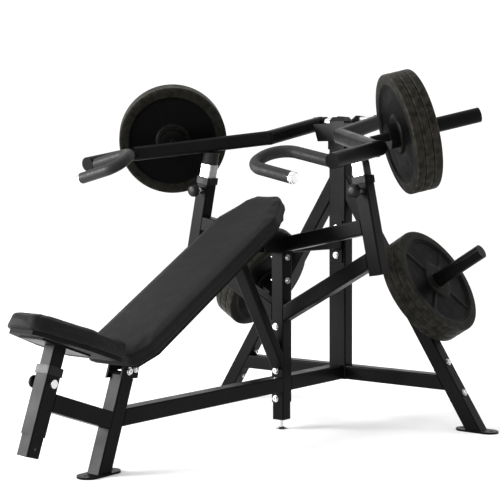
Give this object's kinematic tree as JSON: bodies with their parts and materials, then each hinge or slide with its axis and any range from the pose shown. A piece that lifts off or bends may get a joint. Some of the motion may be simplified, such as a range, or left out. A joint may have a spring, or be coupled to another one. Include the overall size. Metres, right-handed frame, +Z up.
{
  "type": "chest press machine",
  "caption": "Incline chest press with a tilted seat and back pad, two hinged press arms carrying weight plates, adjustable arm rests and storage horns.",
  "frame": {"origin": "floor point under the middle post, at the underside of its levelling foot", "axes": "+Z up, -Y towards the seat end, +X towards the user's right-hand arm as seen from behind the back pad"},
  "size_m": [1.3392, 1.7259, 1.1864],
  "materials": {
    "black_steel": "satin powder coat",
    "cast_iron": "baked enamel over cast iron",
    "leather": "fine grained vinyl leather",
    "board": "black stained plywood",
    "chrome": "polished",
    "grip_rubber": "matt moulded grip",
    "zinc": "bright zinc plate",
    "zinc_bolt": "bright zinc plate",
    "rest_rubber": "matt",
    "black_plastic": "fine texture"
  },
  "bodies": {
    "root": {"axle_collars": "zinc_bolt", "back_board": "board", "back_pad": "leather", "back_rail": "black_steel", "back_strut": "black_steel", "base_beam": "black_steel", "bolts_frame": "zinc_bolt", "column": "black_steel", "column_cap": "black_plastic", "front_foot": "black_steel", "front_leg": "black_steel", "head_plate": "black_steel", "middle_post": "black_steel", "pin_housings": "zinc_bolt", "pivot_axle": "zinc_bolt", "pivot_ears": "black_steel", "post_end_plug": "black_plastic", "post_foot_tube": "black_steel", "post_gussets": "black_steel", "rail_ears": "black_steel", "rear_beams": "black_steel", "rear_feet": "black_steel", "rear_legs": "black_steel", "seat_link": "black_steel", "seat_sleeve": "black_steel", "sleeve_collars": "black_plastic", "storage_horns": "black_steel", "upper_beam": "black_steel", "upper_beam_flange": "black_steel", "upright_braces": "black_steel", "upright_links": "black_steel", "uprights": "black_steel"},
    "seat": {"seat_post": "black_steel", "seat_bracket": "black_steel", "seat_board": "board", "seat_pad": "leather"},
    "seat_pin": {"seat_knob": "black_plastic"},
    "leveller": {"levelling_foot": "zinc_bolt"},
    "arm_left": {"arm_tube_left": "black_steel", "press_barrel_left": "black_steel", "handle_left": "grip_rubber", "handle_cap_left": "chrome", "plate_horn_left": "black_steel", "pivot_bush_left": "black_steel"},
    "arm_weight_left": {"arm_plates_left": "cast_iron"},
    "stored_weight_left": {"storage_plates_left": "cast_iron"},
    "rest_left": {"rest_post_left": "zinc", "rest_cup_left": "rest_rubber"},
    "rest_pin_left": {"rest_knob_left": "black_plastic"},
    "arm_right": {"arm_tube_right": "black_steel", "press_barrel_right": "black_steel", "handle_right": "grip_rubber", "handle_cap_right": "chrome", "plate_horn_right": "black_steel", "pivot_bush_right": "black_steel"},
    "arm_weight_right": {"arm_plates_right": "cast_iron"},
    "stored_weight_right": {"storage_plates_right": "cast_iron"},
    "rest_right": {"rest_post_right": "zinc", "rest_cup_right": "rest_rubber"},
    "rest_pin_right": {"rest_knob_right": "black_plastic"}
  },
  "joints": [
    {"name": "arm_press_left", "type": "hinge", "parent": "root", "child": "arm_left", "pos_m": [-0.132, 0.42, 1.05], "axis": [-1, 0, 0], "range_deg": [0, 40]},
    {"name": "arm_weight_slide_left", "type": "slide", "parent": "arm_left", "child": "arm_weight_left", "axis": [-0.6681, 0.7065, 0.2334], "range_m": [0, 0.19]},
    {"name": "stored_weight_slide_left", "type": "slide", "parent": "root", "child": "stored_weight_left", "axis": [-0.8462, 0, 0.5329], "range_m": [0, 0.19]},
    {"name": "rest_height_left", "type": "slide", "parent": "root", "child": "rest_left", "axis": [0.1977, 0, 0.9803], "range_m": [-0.04, 0]},
    {"name": "rest_pin_pull_left", "type": "slide", "parent": "root", "child": "rest_pin_left", "axis": [0, -1, 0], "range_m": [0, 0.012], "stiffness_N_per_m": 600, "springref_m": -0.004},
    {"name": "arm_press_right", "type": "hinge", "parent": "root", "child": "arm_right", "pos_m": [0.132, 0.42, 1.05], "axis": [-1, 0, 0], "range_deg": [0, 40]},
    {"name": "arm_weight_slide_right", "type": "slide", "parent": "arm_right", "child": "arm_weight_right", "axis": [0.6681, 0.7065, 0.2334], "range_m": [0, 0.19]},
    {"name": "stored_weight_slide_right", "type": "slide", "parent": "root", "child": "stored_weight_right", "axis": [0.8462, 0, 0.5329], "range_m": [0, 0.19]},
    {"name": "rest_height_right", "type": "slide", "parent": "root", "child": "rest_right", "axis": [-0.1977, 0, 0.9803], "range_m": [-0.04, 0]},
    {"name": "rest_pin_pull_right", "type": "slide", "parent": "root", "child": "rest_pin_right", "axis": [0, -1, 0], "range_m": [0, 0.012], "stiffness_N_per_m": 600, "springref_m": -0.004},
    {"name": "seat_height", "type": "slide", "parent": "root", "child": "seat", "axis": [0, 0.3355, 0.9421], "range_m": [-0.03, 0.08]},
    {"name": "seat_pin_pull", "type": "slide", "parent": "root", "child": "seat_pin", "axis": [-1, 0, 0], "range_m": [0, 0.008], "stiffness_N_per_m": 600, "springref_m": -0.004},
    {"name": "leveller_turn", "type": "hinge", "parent": "root", "child": "leveller", "pos_m": [0, 0, 0.03], "axis": [0, 0, 1], "continuous": true}
  ]
}
